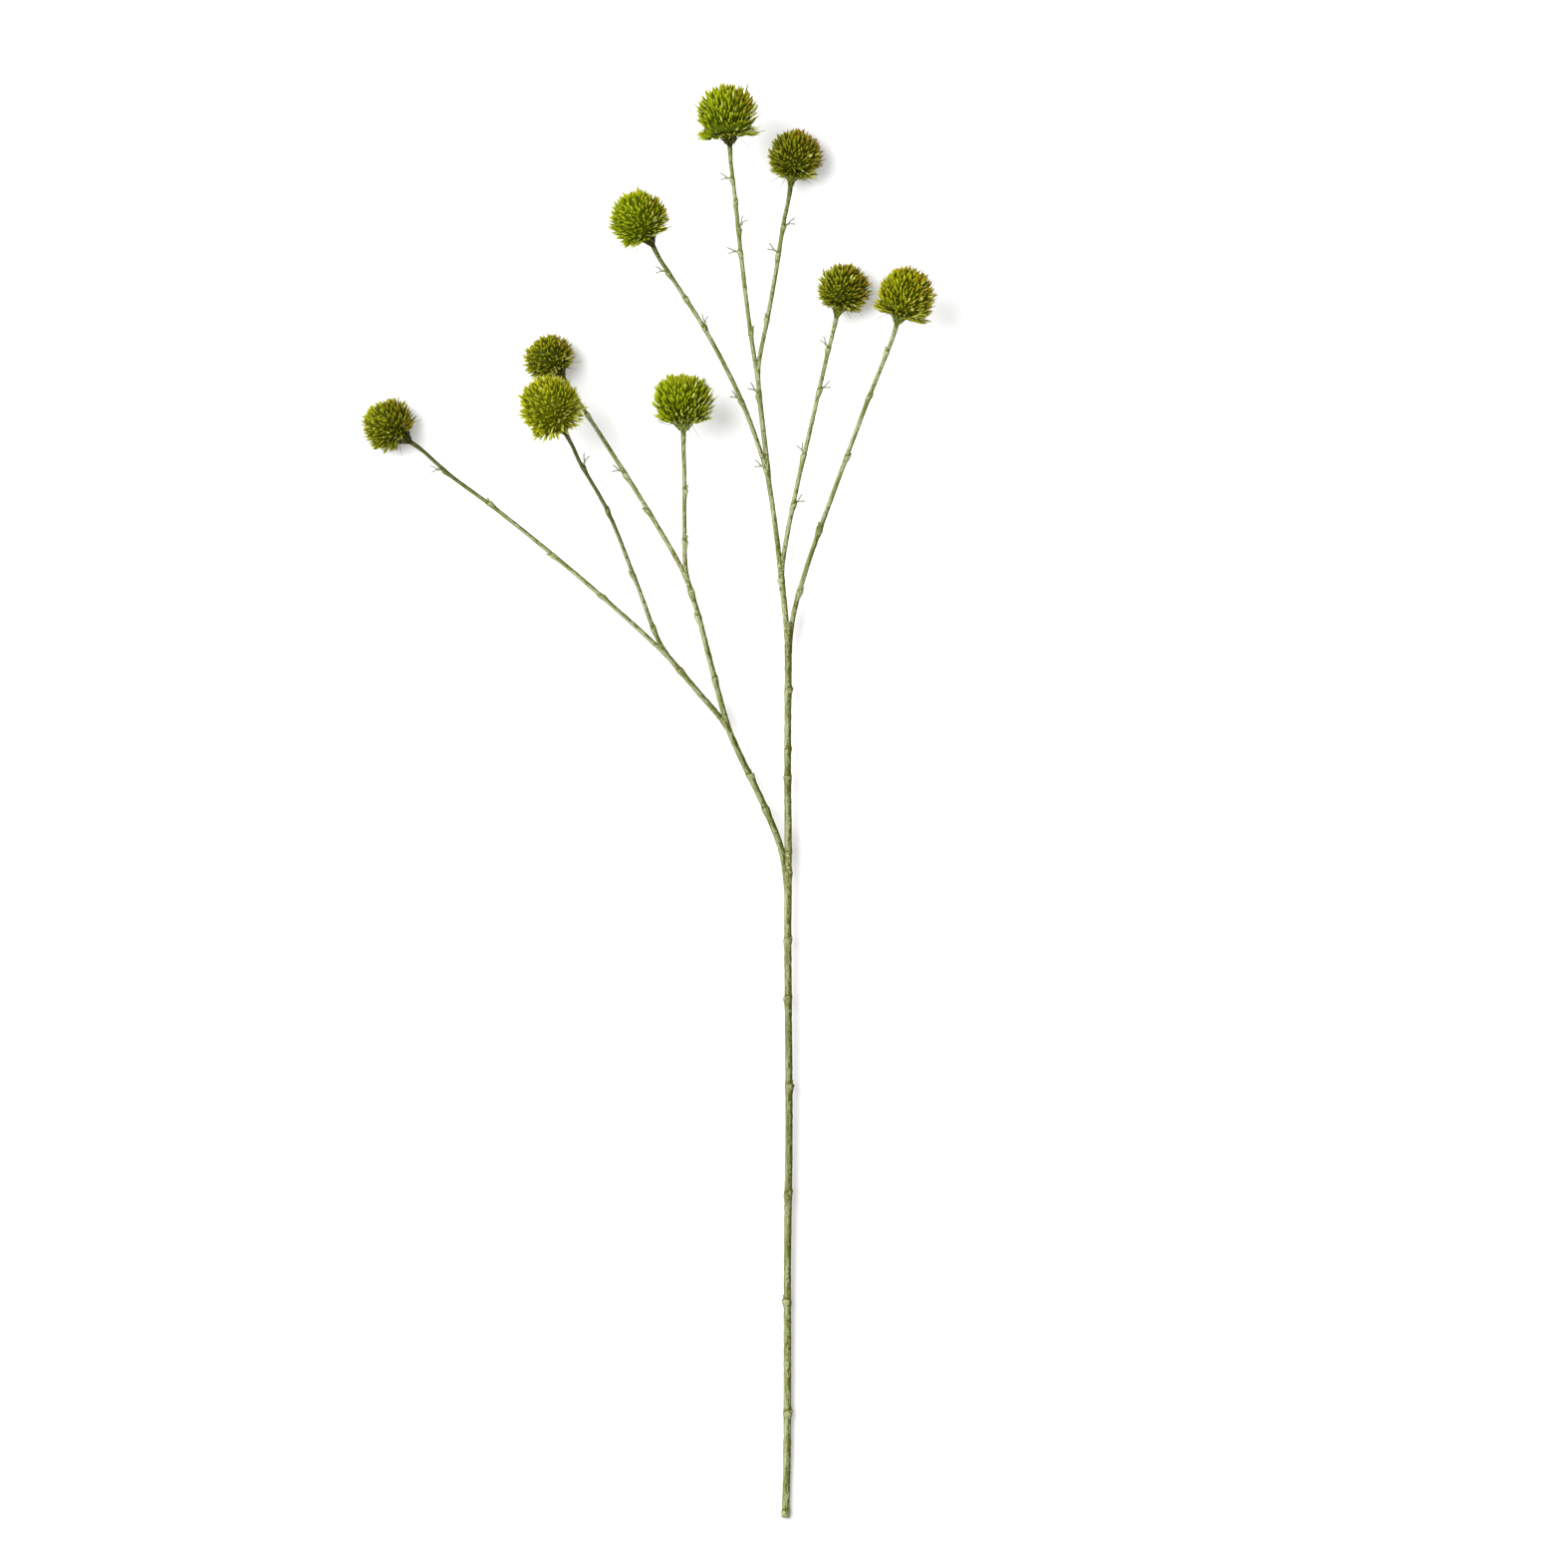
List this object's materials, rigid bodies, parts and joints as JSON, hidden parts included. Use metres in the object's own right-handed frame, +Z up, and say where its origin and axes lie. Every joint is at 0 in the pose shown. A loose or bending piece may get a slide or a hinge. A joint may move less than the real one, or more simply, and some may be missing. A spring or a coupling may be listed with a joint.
{
  "type": "globe thistle",
  "caption": "Cut globe thistle spray laid down: a jointed branching sage-green stem whose side stalks end in round spiky green flower balls.",
  "frame": {"origin": "on the table, under the middle of the box round the whole spray", "axes": "+Y along the stem from the cut end towards the flower balls, +Z up from the table the spray lies on, +X to the right seen from above"},
  "size_m": [0.4304, 1.0744, 0.0941],
  "materials": {
    "stem": "matt pale sage green, mottled with olive",
    "calyx": "matt dark olive",
    "floret_green": "matt bright yellow-green tips over dark roots",
    "floret_olive": "matt olive green tips over dark roots",
    "floret_gold": "matt yellow-green with ochre tips"
  },
  "bodies": {
    "root": {"stem": "stem", "head_top": "floret_green", "head_top_right": "floret_olive", "head_upper_left": "floret_green", "head_right_inner": "floret_olive", "head_right_outer": "floret_gold", "head_left_back": "floret_olive", "head_left_front": "floret_green", "head_middle": "floret_green", "head_far_left": "floret_olive", "calyx_top": "calyx", "calyx_top_right": "calyx", "calyx_upper_left": "calyx", "calyx_right_inner": "calyx", "calyx_right_outer": "calyx", "calyx_left_back": "calyx", "calyx_left_front": "calyx", "calyx_middle": "calyx", "calyx_far_left": "calyx"}
  },
  "joints": []
}
